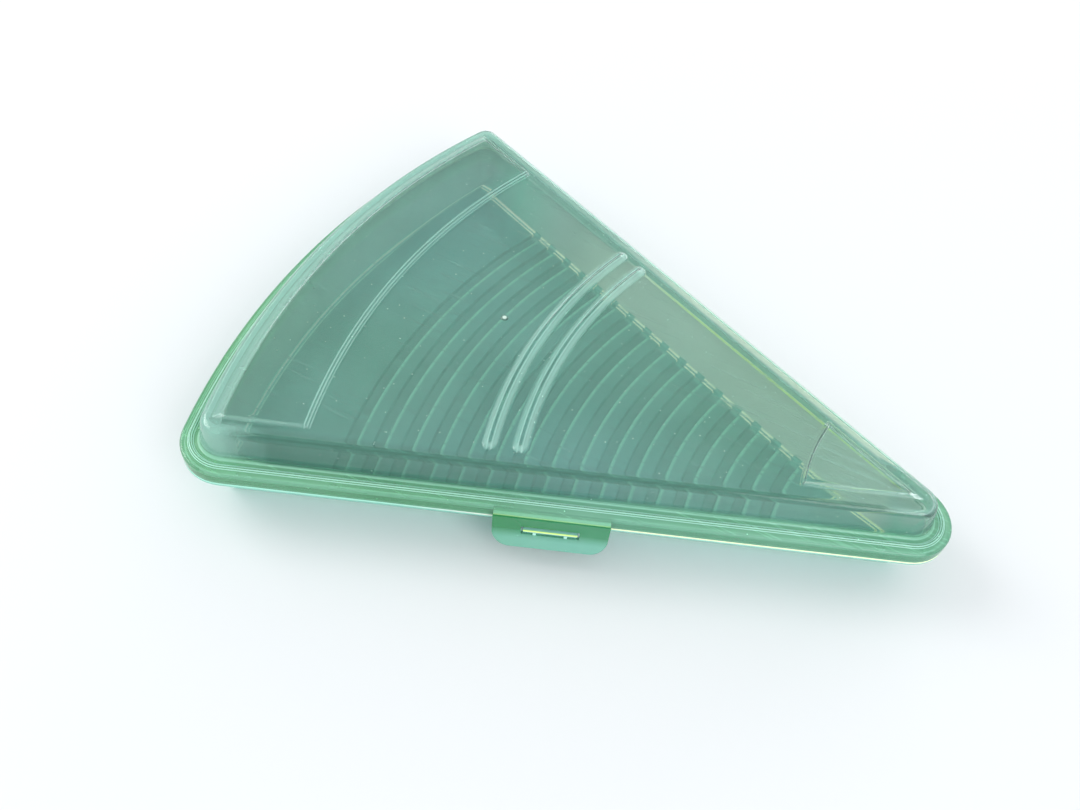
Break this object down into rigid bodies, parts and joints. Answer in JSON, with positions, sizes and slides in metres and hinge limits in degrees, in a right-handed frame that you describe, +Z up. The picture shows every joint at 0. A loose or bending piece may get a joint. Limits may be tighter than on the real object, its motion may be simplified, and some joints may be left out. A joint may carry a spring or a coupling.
{
  "type": "pizza slice container",
  "caption": "Closed clamshell container for one slice of pizza, in translucent green plastic, with a hinged domed lid and a slotted latch flap on a tray tongue.",
  "frame": {"origin": "middle of the closed case's bounding box, on the table", "axes": "+X from the crust edge towards the slice's point, +Y from the latch side towards the hinge side, +Z up"},
  "size_m": [0.219, 0.1774, 0.0316],
  "materials": {
    "tray_plastic": "translucent, glossy",
    "lid_plastic": "translucent, glossy",
    "hinge_web": "translucent, thin",
    "latch_plastic": "translucent, glossy"
  },
  "bodies": {
    "base": {"base_tray": "tray_plastic", "lid_hinge": "hinge_web"},
    "lid": {"lid": "lid_plastic", "latch_hinge": "hinge_web"},
    "latch": {"latch_flap": "latch_plastic"}
  },
  "joints": [
    {"name": "lid_swing", "type": "hinge", "parent": "base", "child": "lid", "pos_m": [0.0091, 0.05007, 0.0166], "axis": [-0.9239, 0.3827, 0], "range_deg": [0, 180], "deforming": ["lid_hinge"]},
    {"name": "latch_swing", "type": "hinge", "parent": "lid", "child": "latch", "pos_m": [0.0091, -0.05266, 0.0196], "axis": [-0.9239, -0.3827, 0], "range_deg": [0, 135], "deforming": ["latch_hinge"]}
  ]
}
